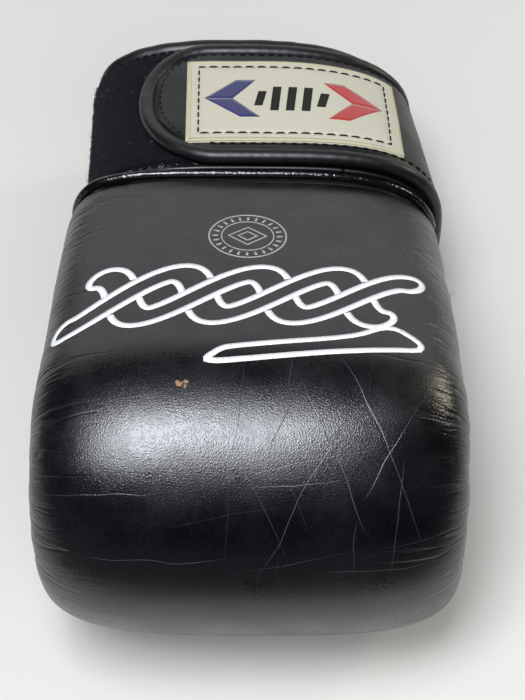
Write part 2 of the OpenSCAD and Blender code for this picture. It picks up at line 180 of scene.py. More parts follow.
class Form:
    """A form with its arcs measured, so that places on it are in millimetres."""

    # angles are close together round each quarter turn, where a squarish section moves fastest
    TURNS = np.arange(-1, 6)[:, None] * 90 + 45 * np.linspace(-1, 1, 401) ** 3
    ANGLES = np.radians(np.unique(TURNS.round(9)))
    CROWN = int(np.argmin(np.abs(ANGLES - math.pi / 2)))
    PROBE_S, PROBE_STEP = 40.0, 0.6

    def __init__(self, fn, length, waves=None):
        self.fn, self.waves = fn, waves
        self.rows = np.arange(0, math.ceil(length) + 2.0)
        grid = fn(self.rows[:, None], self.ANGLES[None, :])
        step = np.linalg.norm(np.diff(grid, axis=1), axis=2)
        arc = np.concatenate([np.zeros((len(grid), 1)), np.cumsum(step, axis=1)], axis=1)
        self.arcs = arc - arc[:, self.CROWN : self.CROWN + 1]
        self.side = 1
        self.side = 1 if self.normal(self.PROBE_S, 0.0)[2] > 0 else -1

    def _lookup(self, s, value, reverse):
        s, value = np.broadcast_arrays(np.asarray(s, float), np.asarray(value, float))
        flat_s = np.clip(s.ravel(), 0, len(self.rows) - 2)
        flat_v = value.ravel()
        row = flat_s.astype(int)
        part = flat_s - row
        out = np.empty_like(flat_v)
        for r in np.unique(row):
            m = row == r
            tables = [(self.ANGLES, self.arcs[k]) for k in (r, r + 1)]
            low, high = (np.interp(flat_v[m], *(t[::-1] if reverse else t)) for t in tables)
            out[m] = low * (1 - part[m]) + high * part[m]
        return out.reshape(s.shape)

    def angle(self, s, u):
        """The section angle at arc u. Arcs count from the crown, and angles grow the other way."""
        return self._lookup(s, -np.asarray(u, float), True)

    def arc(self, s, degrees):
        return -self._lookup(s, np.radians(degrees), False)

    def normal(self, s, u):
        d = self.PROBE_STEP
        along = self.fn(s + d, self.angle(s + d, u)) - self.fn(s - d, self.angle(s - d, u))
        across = self.fn(s, self.angle(s, u + d)) - self.fn(s, self.angle(s, u - d))
        return unit(np.cross(along, across)) * self.side

    def at(self, s, u, lift=0.0):
        s, u = np.broadcast_arrays(np.asarray(s, float), np.asarray(u, float))
        high = np.asarray(lift, float) + (self.waves(s, u) if self.waves else 0)
        p = self.fn(s, self.angle(s, u)) + self.normal(s, u) * high[..., None]
        p[..., 2] = np.maximum(p[..., 2], 0)
        return p


def field(s, u, size, seed):
    """Smooth noise over a form, about -1 to 1, with features of the given size (along, across)."""
    points = zip((s / size[0]).ravel(), (u / size[1]).ravel())
    return np.array([noise.noise((a, b, seed)) for a, b in points]).reshape(s.shape) * 1.8


def mitt_waves(s, u):
    """How the skin of the mitt departs from its plain form: gathers at the side seams and soft hollows."""
    half_arc, gathered = 92.0, 26
    edge = np.clip(1 - (half_arc - np.abs(u)) / gathered, 0, 1) ** 1.6
    busy = 0.55 + 0.45 * ease((s - 90) / 60) + 0.25 * (u > 0)
    gathers = field(s, u, (7.5, 34), 1.3) + 0.6 * field(s, u, (3.8, 22), 4.1)
    soft = field(s, u, (46, 52), 8.2) * 0.55
    return gathers * edge * busy * 0.95 + soft


MITT = Form(mitt_form, MITT_LEN, mitt_waves)
CUFF = Form(cuff_form, CUFF_LEN)

# ---------------- meshes


def make(name, points, faces, uvs, material):
    """A mesh object from points in millimetres; uvs is one (s, u) pair a point, kept as the map 'flow'."""
    mesh = bpy.data.meshes.new(name)
    mesh.from_pydata((np.asarray(points).reshape(-1, 3) * MM).tolist(), [], faces)
    layer = mesh.uv_layers.new(name="flow")
    loops = np.empty(len(mesh.loops), int)
    mesh.loops.foreach_get("vertex_index", loops)
    layer.data.foreach_set("uv", (np.asarray(uvs).reshape(-1, 2)[loops] * MM).ravel())
    mesh.materials.append(material)
    mesh.polygons.foreach_set("use_smooth", [True] * len(mesh.polygons))
    mesh.validate()
    mesh.update()
    obj = bpy.data.objects.new(name, mesh)
    bpy.context.scene.collection.objects.link(obj)
    return obj


def join(obj, hold, node=None):
    """Join a piece to the frame. hold is a body's name, or a function that is called on the piece instead of
    attaching it.
    """
    if node:
        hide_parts(node)
    if callable(hold):
        hold(obj)
    else:
        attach(obj, hold)


def sheet_faces(top, low):
    """Faces that close two equal grids of points into one solid, with top facing out."""
    rows, cols = top.shape[:2]
    a = np.arange(rows * cols).reshape(rows, cols)
    b = a + rows * cols
    quads = (
        (a[:-1, :-1], a[1:, :-1], a[1:, 1:], a[:-1, 1:]),
        (b[:-1, :-1], b[:-1, 1:], b[1:, 1:], b[1:, :-1]),
        (a[:-1, 0], b[:-1, 0], b[1:, 0], a[1:, 0]),
        (a[:-1, -1], a[1:, -1], b[1:, -1], b[:-1, -1]),
        (a[0, :-1], a[0, 1:], b[0, 1:], b[0, :-1]),
        (a[-1, :-1], b[-1, :-1], b[-1, 1:], a[-1, 1:]),
    )
    faces = np.concatenate([np.stack(q, -1).reshape(-1, 4) for q in quads])
    i, j = (rows - 1) // 2, (cols - 1) // 2
    turn = np.cross(top[i + 1, j] - top[i, j], top[i, j + 1] - top[i, j])
    inside_out = np.dot(turn, top[i, j] - low[i, j]) < 0
    return faces[:, ::-1] if inside_out else faces


def sheet(name, top, low, uv, material):
    """A closed skin between two equal grids of points."""
    return make(name, np.stack([top, low]), sheet_faces(top, low).tolist(), np.stack([uv, uv]), material)


def tube_faces(count, rings, sides, closed=False):
    """Faces of count tubes, each one a run of rings, capped unless closed into a loop."""
    at = np.arange(count * rings * sides).reshape(count, rings, sides)
    caps = [] if closed else at[:, 0, ::-1].tolist() + at[:, -1].tolist()
    if closed:
        at = np.concatenate([at, at[:, :1]], 1)
    nxt = np.roll(at, -1, 2)
    return np.stack([at[:, :-1], nxt[:, :-1], nxt[:, 1:], at[:, 1:]], -1).reshape(-1, 4).tolist() + caps


def rounded(s, u, s_ends, u_from, u_to, r, drop, sides):
    """How far a panel's skin turns down near its edges. sides: n(ear), f(ar), t(humb) or x, the other one."""
    gaps = (s - s_ends[0], s_ends[1] - s, u - u_from, u_to - u)
    near = np.minimum.reduce([g if k in sides else np.full_like(s, 99.0) for k, g in zip("nftx", gaps)])
    return -drop * (1 - np.sqrt(1 - (1 - np.clip(near / r, 0, 1)) ** 2))


def panel(name, form, s_ends, u_edges, thick, material, lift=0.0, grid=(120, 120), roll=3.0, **more):
    """A closed leather or cloth panel. u_edges gives the two side arcs at s."""
    s = np.linspace(*s_ends, grid[0])[:, None] + np.zeros(grid[1])
    edges = [np.asarray(e, float) + 0 * s[:, 0] for e in u_edges(s[:, 0])]
    t = np.linspace(0, 1, grid[1])[None, :]
    u = edges[0][:, None] * (1 - t) + edges[1][:, None] * t
    low_u, high_u = np.minimum(*edges)[:, None], np.maximum(*edges)[:, None]
    fall = rounded(s, u, s_ends, low_u, high_u, roll, thick * 0.7, more.get("sides", "nftx"))
    puff = more["puff"](s, u) if "puff" in more else 0
    top = form.at(s, u, lift + fall + puff)
    low = form.at(s, u, more.get("bottom", lift - thick) + np.minimum(fall * 0.2, 0))
    return sheet(name, top, low, np.stack([s, u], -1), material)


def tube(name, path, out, radii, material, closed=False, sides=12, knots=None, ends=(True, True)):
    """A cord along a path, radii = (across, outwards). Open ends named in ends are rounded."""
    path, out = np.asarray(path, float), np.asarray(out, float)
    tangent = unit(np.roll(path, -1, 0) - np.roll(path, 1, 0) if closed else np.gradient(path, axis=0))
    side = unit(np.cross(tangent, out))
    up = np.cross(side, tangent)
    length = run_lengths(path)
    turn = np.linspace(0, math.tau, sides, endpoint=False)
    grow = np.ones(len(path))
    if not closed:
        far = 99 + 0 * length
        near = np.minimum(length if ends[0] else far, length[-1] - length if ends[1] else far) / max(radii)
        grow = np.sqrt(np.clip(1 - (1 - np.clip(near, 0, 1)) ** 2, 0.02, 1))
    if knots is not None:
        grow = grow * knots(length)
    across, outwards = (r * wave(turn)[None, :, None] for r, wave in zip(radii, (np.cos, np.sin)))
    ring = path[:, None] + (side[:, None] * across + up[:, None] * outwards) * grow[:, None, None]
    uv = np.stack(np.broadcast_arrays(length[:, None], turn[None, :] * max(radii)), -1)
    return make(name, ring, tube_faces(1, len(path), sides, closed), uv, material)


def stitches(name, path, out, material, pitch=4.2, length=3.0, r=0.42):
    """A row of short threads along a path, each one sinking in at both ends."""
    rings, sides = 5, 6
    run = run_lengths(path)
    count = max(1, int(run[-1] / pitch))
    q = np.linspace(0, 1, rings)
    t = (np.arange(count)[:, None] + 0.5) * run[-1] / count + (q - 0.5) * length
    p, o = (np.stack([np.interp(t, run, v[:, k]) for k in range(3)], -1) for v in (path, out))
    side = unit(np.cross(unit(p[:, -1] - p[:, 0])[:, None], o))
    arch = np.minimum(1.0, 1.5 * np.sin(math.pi * q))[:, None]
    turn = (np.arange(sides) * math.tau / sides)[:, None]
    ring = side[:, :, None] * np.cos(turn) + o[:, :, None] * np.sin(turn)
    centre = p + o * r * (1.1 * arch - 0.5)
    points = centre[:, :, None] + ring * (r * (0.45 + 0.55 * arch))[:, None]
    uv = np.stack(np.broadcast_arrays(t[..., None], np.arange(sides) * 0.4), -1)
    return make(name, points, tube_faces(count, rings, sides), uv, material)


def outline_strip(corners, width, closed=True, step=1.5):
    """(left, right) edge points of a drawn line with mitred corners, in the plane of a panel."""
    c = np.asarray(corners, float)
    ahead = np.roll(c, -1, 0) - c
    if not closed:
        ahead[-1] = ahead[-2]
    behind = np.roll(ahead, 1, 0)
    if not closed:
        behind[0] = ahead[0]
    out_1, out_2 = (unit(np.stack([-t[:, 1], t[:, 0]], -1)) for t in (behind, ahead))
    mitre = unit(out_1 + out_2)
    reach = width / 2 / np.maximum(0.35, np.sum(mitre * out_1, -1, keepdims=True))
    pair = np.stack([c + mitre * reach, c - mitre * reach])
    if closed:
        pair = np.concatenate([pair, pair[:, :1]], 1)
    fine = [pair[:, :1]]
    for k in range(pair.shape[1] - 1):
        a, b = pair[:, k : k + 1], pair[:, k + 1 : k + 2]
        count = max(1, int(np.linalg.norm(b[0] - a[0]) / step))
        fine.append(a + (b - a) * (np.arange(1, count + 1) / count)[None, :, None])
    return np.concatenate(fine, 1)


def decal(name, form, strips, material, lift, thick=0.06, across=3):
    """Thin marks on a form: each strip is a pair of (s, u) edges. lift may be a function of (s, u)."""
    sunk = 0.2
    points, faces, uvs = [], [], []
    for left, right in strips:
        t = np.linspace(0, 1, across)[None, :, None]
        flat = left[:, None] * (1 - t) + right[:, None] * t
        s, u = flat[..., 0], flat[..., 1]
        height = lift(s, u) if callable(lift) else lift
        top, low = form.at(s, u, height + thick), form.at(s, u, height - sunk)
        faces.append(sheet_faces(top, low) + sum(len(p) for p in points))
        points.append(np.concatenate([top.reshape(-1, 3), low.reshape(-1, 3)]))
        uvs.append(np.concatenate([flat.reshape(-1, 2)] * 2))
    return make(name, np.concatenate(points), np.concatenate(faces).tolist(), np.concatenate(uvs), material)


def filled(a, b, c, d):
    """A four-cornered patch as a strip, for decals."""
    k = np.linspace(0, 1, 9)[:, None]
    a, b, c, d = (np.asarray(p, float) for p in (a, b, c, d))
    return a * (1 - k) + d * k, b * (1 - k) + c * k


def fibres(name, form, s, u, lift, lengths, heights, r, material, free):
    """Fine threads standing on a form: loops, or free ends when free is true."""
    n, rings, sides = len(s), 5, 3
    root, out = form.at(s, u, lift), form.normal(s, u)
    turn = rng.uniform(0, math.tau, n)
    along = unit(form.at(s + 0.5, u, lift) - root)
    side = np.cross(along, out)
    way = along * np.cos(turn)[:, None] + side * np.sin(turn)[:, None]
    curl = np.cross(way, out) * rng.normal(0, 0.35, n)[:, None]
    q = np.linspace(0, 1, rings)[None, :, None]
    rise = q**0.7 if free else np.sin(q * math.pi)
    reach = (way[:, None] * q + curl[:, None] * q**2) * lengths[:, None, None]
    path = root[:, None] + reach + out[:, None] * rise * heights[:, None, None]
    corner = (np.arange(sides) * math.tau / sides)[:, None]
    ring = np.cross(way, out)[:, None] * np.cos(corner) + out[:, None] * np.sin(corner)
    thin = (1 - 0.6 * q if free else 1 + 0 * q)[..., None] * r
    points = path[:, :, None, :] + ring[:, None, :, :] * thin
    points[..., 2] = np.maximum(points[..., 2], 0)
    step = np.arange(rings * sides)
    uv = np.stack([s[:, None] + 0.3 * step, u[:, None] + 0 * step], -1)
    return make(name, points, tube_faces(n, rings, sides), uv, material)

# ---------------- materials


class Shader:
    """Short ways to write a material's nodes. Coordinates are the 'flow' map in millimetres."""

    def __init__(self, name, coords="flow"):
        self.mat = bpy.data.materials.new(name)
        self.mat.use_nodes = True
        self.tree = self.mat.node_tree
        self.tree.nodes.clear()
        self.bsdf = self.node("BsdfPrincipled")
        self.node("OutputMaterial", Surface=self.bsdf.outputs[0])
        if coords == "flow":
            flow = self.node("UVMap")
            flow.uv_map = "flow"
            raw = flow.outputs[0]
        else:
            raw = self.node("TexCoord").outputs["Object"]
        self.place = self.vec("SCALE", raw, Scale=1 / MM)

    def node(self, kind, **values):
        n = self.tree.nodes.new("ShaderNode" + kind)
        for key, value in values.items():
            self.put(n.inputs[key], value)
        return n

    def put(self, socket, value):
        if isinstance(value, bpy.types.NodeSocket):
            self.tree.links.new(value, socket)
        elif value is not None:
            socket.default_value = value

    def math(self, op, a, b=None, c=None, clamp=False):
        n = self.node("Math")
        n.operation, n.use_clamp = op, clamp
        for socket, value in zip(n.inputs, (a, b, c)):
            self.put(socket, value)
        return n.outputs[0]

    def times(self, a, b):
        return self.math("MULTIPLY", a, b)

    def add(self, a, b):
        return self.math("ADD", a, b)

    def size_of(self, value):
        return self.math("ABSOLUTE", value)

    def vec(self, op, a, b=None, **extra):
        n = self.node("VectorMath")
        n.operation = op
        self.put(n.inputs[0], a)
        self.put(n.inputs[1], b)
        for key, value in extra.items():
            self.put(n.inputs[key], value)
        return n.outputs["Value"] if op in ("LENGTH", "DISTANCE") else n.outputs[0]

    def split(self, vector):
        n = self.node("SeparateXYZ", Vector=vector)
        return n.outputs[0], n.outputs[1]

    def noise(self, size, detail=3.0, rough=0.5, place=None):
        """Noise from 0 to 1 with features of the given size in millimetres; size may be (along, across)."""
        along, across = size if isinstance(size, tuple) else (size, size)
        spot = self.vec("MULTIPLY", place or self.place, (1 / along, 1 / across, 1 / along))
        return self.node("TexNoise", Vector=spot, Scale=1.0, Detail=detail, Roughness=rough).outputs[0]

    def cells(self, size, feature="DISTANCE_TO_EDGE", place=None):
        n = self.node("TexVoronoi", Vector=self.vec("SCALE", place or self.place, Scale=1 / size), Scale=1.0)
        n.feature = feature
        return n.outputs[0]

    def fit(self, value, low, high, to_low=0.0, to_high=1.0, smooth=True):
        n = self.node("MapRange")
        n.interpolation_type = "SMOOTHSTEP" if smooth else "LINEAR"
        for socket, v in zip(n.inputs, (value, low, high, to_low, to_high)):
            self.put(socket, v)
        return n.outputs[0]

    def mix(self, factor, a, b):
        n = self.node("Mix", Factor=factor)
        n.data_type = "RGBA"
        for socket, value in ((n.inputs[6], a), (n.inputs[7], b)):
            self.put(socket, (*value, 1) if isinstance(value, tuple) else value)
        return n.outputs[2]

    def warped(self, amount, size):
        """The place, pushed about by noise, so that patterns don't look ruled."""
        cloud = self.node("TexNoise", Vector=self.vec("SCALE", self.place, Scale=1 / size), Scale=1.0)
        push = self.vec("SUBTRACT", cloud.outputs[1], (0.5, 0.5, 0.5))
        return self.vec("ADD", self.place, self.vec("SCALE", push, Scale=amount))

    def ridge(self, value, width):
        """1 along the middle contour of a noise, falling to 0 at width."""
        return self.fit(self.size_of(self.math("SUBTRACT", value, 0.5)), 0.0, width, 1.0, 0.0)

    def scores(self, turn, gap, half, length, wander, seed):
        """Long thin lines about gap apart, turned from the run of the form, each one broken into lengths."""
        moved = self.vec("ADD", self.warped(*wander), (seed, seed, 0.0))
        spun = self.node("VectorRotate", Vector=moved, Angle=turn)
        spun.rotation_type = "Z_AXIS"
        along, across = self.split(spun.outputs[0])
        rows = self.math("DIVIDE", across, gap)
        lane = self.math("FLOOR", rows)
        luck = self.node("TexWhiteNoise")
        luck.noise_dimensions = "1D"
        self.put(luck.inputs["W"], self.add(lane, seed))
        middle = self.math("MULTIPLY_ADD", luck.outputs[0], 0.6, 0.2)
        off = self.size_of(self.math("SUBTRACT", self.math("FRACT", rows), middle))
        line = self.fit(off, 0.0, half / gap, 1.0, 0.0)
        spot = self.node("CombineXYZ", X=self.math("DIVIDE", along, length), Y=self.times(lane, 7.31))
        keep = self.node("TexNoise", Vector=spot.outputs[0], Scale=1.0, Detail=0.0)
        return self.times(line, self.fit(keep.outputs[0], 0.46, 0.62))

    def most_scores(self, *kinds):
        return functools.reduce(lambda a, b: self.math("MAXIMUM", a, b), [self.scores(*k) for k in kinds])

    def bump(self, height, distance, below=None):
        return self.node("Bump", Strength=1.0, Distance=distance * MM, Height=height, Normal=below).outputs[0]

    def finish(self, color, rough, normal=None, **extra):
        color = (*color, 1) if isinstance(color, tuple) else color
        for key, value in {"Base Color": color, "Roughness": rough, "Normal": normal, **extra}.items():
            self.put(self.bsdf.inputs[key.replace("_", " ")], value)
        return self.mat


def shade(color, part):
    return tuple(c * part for c in color)


def add_creases(m, color, normal, rough):
    """Long folds that run in from the side seams, and fine lines over the roll."""
    along, across = m.split(m.place)
    edge = m.size_of(across)
    reach = m.fit(m.noise((9.0, 900.0), 1.0), 0.3, 0.7, 12.0, 62.0, smooth=False)
    near = m.fit(edge, m.math("SUBTRACT", 84.0, reach), 88.0)
    folds = m.ridge(m.noise((8.0, 70.0), 2.0, place=m.warped(4.0, 21.0)), 0.035)
    close = m.ridge(m.noise((3.4, 34.0), 2.0, place=m.warped(2.0, 9.0)), 0.06)
    tight = m.times(close, m.fit(edge, 50.0, 80.0))
    fold = m.times(m.add(folds, m.times(tight, 0.7)), near)
    wrinkle = m.noise((2.4, 24.0), 3.0, 0.6, place=m.warped(3.0, 12.0))
    normal = m.bump(m.times(wrinkle, m.fit(edge, 44.0, 84.0, 0.04, 1.0)), 0.5, normal)
    normal = m.bump(m.times(fold, -1.0), 0.5, normal)
    hair_lines = m.most_scores(
        (1.5, 9.0, 0.13, 60.0, (9.0, 36.0), 11.0),
        (1.36, 13.0, 0.16, 75.0, (7.0, 40.0), 53.0),
    )
    hair_lines = m.times(hair_lines, m.fit(along, 122.0, 150.0, 0.1, 1.0))
    normal = m.bump(m.times(hair_lines, -1.0), 0.05, normal)
    # the folds are painted lighter, a painted highlight along the crease lines
    color = m.mix(m.math("MULTIPLY", fold, 0.5, clamp=True), color, (0.03, 0.03, 0.034))
    return m.mix(m.times(hair_lines, 0.4), color, (0.05, 0.05, 0.06)), normal, rough


def add_scratches(m, color, normal, rough):
    """Slanting scratches over the thumb side of the roll."""
    wander = (9.0, 42.0)
    scratch = m.most_scores(
        (0.1, 11.0, 0.16, 42.0, wander, 3.0),
        (-0.35, 13.0, 0.18, 55.0, wander, 47.0),
        (0.5, 17.0, 0.15, 40.0, wander, 83.0),
    )
    along, across = m.split(m.place)
    where = m.times(m.fit(along, 98.0, 116.0), m.fit(along, 150.0, 178.0, 1.0, 0.1))
    side = m.times(m.fit(across, -12.0, 8.0, 0.07, 1.0), m.fit(across, 36.0, 54.0, 1.0, 0.15))
    scratch = m.times(scratch, m.times(where, side))
    normal = m.bump(m.times(scratch, -1.0), 0.05, normal)
    return m.mix(m.times(scratch, 0.42), color, (0.12, 0.12, 0.15)), normal, rough


def add_scuff(m, color, normal, rough):
    """One small spot on the roll where the black is worn through."""
    worn = m.fit(m.vec("DISTANCE", m.warped(5.4, 2.4), (113.2, -20.5, 0.0)), 1.3, 2.0, 1.0, 0.0)
    return m.mix(worn, color, (0.2, 0.1, 0.05)), normal, m.add(rough, m.times(worn, 0.3))


JET = (0.0018, 0.0018, 0.0032)
SOOT = (0.004, 0.004, 0.005)
COOL = (0.93, 0.95, 1.0, 1.0)    # tint of the leather's highlights


def leather(name, base=JET, rough=0.3, pebble=0.74, grain=0.035, coords="flow", shine=0.7, marks=()):
    """Black grained leather, with cells of the size pebble and relief of the height grain."""
    m = Shader(name, coords)
    cell = m.fit(m.cells(pebble, place=m.warped(0.35, 1.3)), 0.0, 0.4)
    fine = m.noise(0.45, 2.0)
    dull = m.noise(17.0, 4.0, 0.6)
    normal = m.bump(m.add(m.times(cell, 0.8), m.times(fine, 0.35)), grain)
    color = m.mix(m.fit(dull, 0.35, 0.75), base, tuple(c * 1.5 + 0.001 for c in base))
    # the cracks between the pebbles are painted darker, a painted shade in the grain's hollows
    color = m.mix(cell, shade(base, 0.3), color)
    rough_value = m.add(m.fit(dull, 0.3, 0.7, rough - 0.03, rough + 0.06), m.times(cell, -0.03))
    normal = m.bump(m.noise(24.0, 2.0, 0.4), 0.06, normal)
    for add in marks:
        color, normal, rough_value = add(m, color, normal, rough_value)
    return m.finish(color, rough_value, normal, Specular_IOR_Level=shine, Specular_Tint=COOL)


def cloth(name, color, pitch=0.7, depth=0.12, sheen=0.3, fuzz=0.0, rough=0.85, coords="flow", shine=0.4):
    """Woven cloth: two crossing thread waves with noise."""
    m = Shader(name, coords)
    waves = [m.math("SINE", m.times(v, math.tau / pitch)) for v in m.split(m.warped(0.25, 3.0))]
    weave = m.times(m.add(m.times(*waves), 1.0), 0.5)
    hair = m.noise(0.45, 4.0, 0.7)
    dirt = m.noise(9.0, 4.0, 0.6)
    # painted shade: the raised threads and fuzz are painted lighter and the hollows between them darker
    light = m.add(m.times(weave, 0.5), m.times(hair, 0.5))
    tone = m.mix(m.fit(light, 0.2, 0.8), shade(color, 0.62), color)
    tone = m.mix(m.fit(dirt, 0.45, 0.8, 0.0, 0.35), tone, shade(color, 0.8))
    normal = m.bump(m.add(m.times(weave, 1.0 - fuzz), m.times(hair, 0.4 + fuzz)), depth)
    return m.finish(tone, rough, normal, Sheen_Weight=sheen, Sheen_Roughness=0.4, Specular_IOR_Level=shine)


def foam(name, color):
    """Closed-cell foam with small open pores."""
    m = Shader(name, "object")
    pores = m.fit(m.cells(1.3, "F1"), 0.1, 0.6)
    # the pores are painted darker, a painted shade inside them
    return m.finish(m.mix(pores, shade(color, 0.55), color), 0.9, m.bump(m.add(pores, m.noise(0.5)), 0.25))


def thread(name, color):
    m = Shader(name)
    twist = m.math("SINE", m.times(m.add(*m.split(m.place)), math.tau / 0.55))
    # the grooves of the twist are painted darker, a painted shade between the plies
    tone = m.mix(m.fit(twist, -1.0, 1.0), shade(color, 0.6), color)
    return m.finish(tone, 0.8, m.bump(twist, 0.08), Specular_IOR_Level=0.25)


def ink(name, color):
    """Screen print: slightly worn and thin over the leather's grain."""
    m = Shader(name)
    cell = m.fit(m.cells(1.0, place=m.warped(0.9, 2.6)), 0.0, 0.35)
    wear = m.fit(m.noise(3.5, 4.0, 0.7), 0.2, 0.34)
    tone = m.mix(wear, shade(color, 0.45), color)
    tone = m.mix(m.fit(cell, 0.0, 0.4), shade(color, 0.82), tone)
    return m.finish(tone, 0.42, m.bump(cell, 0.035))


BLACK = leather("leather_back", marks=(add_creases, add_scratches, add_scuff))
BLACK_SIDE = leather("leather_palm", rough=0.36, marks=(add_creases,))
PLAIN_SKIN = leather("leather_plain", rough=0.4, coords="object")
CUFF_SKIN = leather("leather_cuff", rough=0.38, pebble=0.5)
EDGE_SKIN = leather("leather_edge", SOOT, 0.42, 0.5, 0.014, shine=0.55)
GLOSS_SKIN = leather("leather_piping", SOOT, 0.2, 1.6, 0.09)
STRAP_SKIN = leather("leather_strap", (0.003, 0.003, 0.0038), 0.45, 0.45, 0.016, shine=0.5)
LINING = cloth("lining", (0.025, 0.025, 0.029), 0.9, 0.15)
INNER = cloth("lining_inner", (0.025, 0.025, 0.029), 0.9, 0.15, coords="object")
PILE = cloth("loop_pile", (0.003, 0.003, 0.0062), 0.8, 0.4, sheen=0.02, fuzz=0.8, rough=0.95, shine=0.1)
FIBRE = cloth("loop_fibre", (0.008, 0.008, 0.016), 0.6, 0.02, sheen=0.05, fuzz=0.2, rough=0.8, shine=0.2)
HOOKS = cloth("hook_tape", (0.012, 0.012, 0.013), 1.3, 0.5, sheen=0.0, rough=0.6)
LABEL = cloth("woven_label", (0.44, 0.425, 0.345), 0.5, 0.07, sheen=0.1)
LABEL_EDGE = cloth("label_edge", (0.44, 0.415, 0.29), 0.5, 0.1, sheen=0.1)
NAVY = cloth("woven_navy", (0.013, 0.014, 0.1), 0.5, 0.1)
RED = cloth("woven_red", (0.34, 0.014, 0.014), 0.5, 0.1)
INK_BLACK = cloth("woven_black", (0.006, 0.006, 0.007), 0.5, 0.1, sheen=0.0)
BLACK_THREAD = thread("thread_black", (0.003, 0.003, 0.004))
WHITE_INK = ink("ink_white", (0.62, 0.63, 0.65))
GREY_INK = ink("ink_grey", (0.26, 0.26, 0.27))
FOAM = foam("foam_dark", (0.07, 0.07, 0.078))
BOARD = foam("stiffener", (0.5, 0.44, 0.33))

# ---------------- mitt

SEAM_DEG = 30.0
HOLE_FROM, HOLE_TO = 8.0, 82.0
CREASE = RUN_LEN + 4
EDGE_GAP = 0.4                   # from a panel's end to the form's end
TUFT_S, TUFT_DEG = 19.0, -6


def hole(s):
    return ease(np.minimum(s - HOLE_FROM, HOLE_TO - s) / 22)


def back_degrees(s):
    return 180 + SEAM_DEG + 0 * s, -SEAM_DEG + 27 * hole(s)


def palm_degrees(s):
    return 360 - SEAM_DEG - 22 * hole(s), 180 + SEAM_DEG + 0 * s


def seam_edges(degrees):
    """The side arcs of a mitt panel that stops just short of its seams."""

    def edges(s):
        high, low = degrees(s)
        return MITT.arc(s, high - 0.6), MITT.arc(s, low + 0.6)

    return edges


def mitt_pieces():
    far = MITT_LEN - EDGE_GAP
    for name, node, ends, degrees, look, grid in (
        ("mitt", "dorsal_cover", (EDGE_GAP, far), back_degrees, BLACK, (230, 220)),
        ("palm", "palm_cover", (EDGE_GAP, CREASE - 0.5), palm_degrees, BLACK_SIDE, (90, 110)),
        ("finger_side", "finger_grip_cover", (CREASE + 0.5, far), palm_degrees, BLACK_SIDE, (110, 110)),
    ):
        skin = panel(name + "_leather", MITT, ends, seam_edges(degrees), 1.5, look, grid=grid)
        join(skin, "mitt", node)


def foam_depth(s, part, by=0.0):
    t = ease(s / RUN_LEN)
    return tuple(1.75 + v * part + by for v in (7.5, 8 + 13 * t, 9 - 6.6 * t))


def ply(node, degrees, s_ends, outer, inner, material):
    """A layer inside the mitt. outer and inner are (part, by) of foam_depth."""
    s = np.linspace(*s_ends, 80)[:, None]
    high, low = degrees(s)
    a = np.radians(low + 1.5 + (high - low - 3) * np.linspace(0, 1, 70)[None, :])
    top, bottom = (mitt_form(s, a, foam_depth(s, *d)) for d in (outer, inner))
    uv = np.stack(np.broadcast_arrays(s, a * 40), -1)
    join(sheet(node + "_layer", top, bottom, uv, material), "mitt", node)


def mitt_plies():
    whole, gap = (1.2, MITT_LEN - 1.2), -0.15
    for k, node in enumerate(("knuckle_foam_outer", "knuckle_foam_core", "knuckle_foam_inner")):
        ply(node, back_degrees, whole, (k / 3,), ((k + 1) / 3, gap), FOAM)
    ply("palm_foam", palm_degrees, (1.2, RUN_LEN), (0,), (1, gap), FOAM)
    ply("hand_lining_back", back_degrees, whole, (1,), (1, 0.8), INNER)
    ply("hand_lining_palm", palm_degrees, whole, (1,), (1, 0.8), INNER)


def fingertip_end():
    """The gathered leather that closes the end of the finger roll."""
    a = np.radians(np.linspace(0, 360, 145)[:-1])
    rings = []
    edge = mitt_form(MITT_LEN, a, (0.1, 0.1, 0.1))
    centre = edge.mean(0)
    pleats = 0.35 * np.sin(a * 36 + 2 * np.sin(a * 3))
    sizes, bulges = (1.0, 0.985, 0.95, 0.88, 0.7, 0.45, 0.2, 0.04), (0.3, 1.1, 1.9, 2.5, 2.7, 2.9, 3.0, 3.0)
    for k, out in zip(sizes, bulges):
        ring = centre + (edge - centre) * k
        ring[:, 1] += out + pleats * math.sin(math.pi * k) * (k > 0.5)
        ring[:, 2] = np.maximum(ring[:, 2], 0)
        rings.append(ring)
    rings = np.array(rings)
    faces = [face[::-1] for face in tube_faces(1, *rings.shape[:2])]
    join(make("fingertip_leather", rings, faces, rings[..., ::2], BLACK_SIDE), "mitt", "fingertip_cap")


def grip():
    """The padded bar in the curl of the fingers, in its sewn cover."""
    lo, hi = (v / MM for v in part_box("grip_bar_cover"))
    x = np.linspace(lo.x + 0.3, hi.x - 0.3, 90)
    y, z, r = (lo.y + hi.y) / 2, (lo.z + hi.z) / 2, (hi.z - lo.z) / 2
    path, up = np.stack([x, y + 0 * x, z + 0 * x], -1), np.array([[0, 0, 1.0]] * len(x))
    soft = lambda q: 1 - 0.03 * (1 + np.sin(q / 2.1 + np.sin(q / 5)))
    sleeve = tube("grip_bar_sleeve", path, up, (r, r), PLAIN_SKIN, sides=28, knots=soft)
    join(sleeve, "mitt", "grip_bar_cover")
    join(tube("grip_bar_core", path[4:-4], up[4:-4], (r - 1.6, r - 1.6), FOAM, sides=20), "mitt", "grip_bar")
    join(stitches("grip_bar_stitches", path[3:-3] + (0, 0, 0.15 - r), -up[3:-3], BLACK_THREAD, 4.0), "mitt")


def seam_cords():
    s = np.linspace(4, MITT_LEN - 3, 260)
    for side, degrees, start in (("pinky", 180 + SEAM_DEG, 0), ("thumb", -SEAM_DEG, HOLE_TO)):
        run = s[s > start]
        u = MITT.arc(run, degrees)
        cord = tube(f"{side}_seam_cord", MITT.at(run, u, 0.3), MITT.normal(run, u), (1.0, 1.0), EDGE_SKIN)
        join(cord, "mitt", f"{side}_seam_piping")


def smooth_loop(values):
    for _ in range(6):
        values = (np.roll(values, 1, 0) + values * 2 + np.roll(values, -1, 0)) / 4
    return values


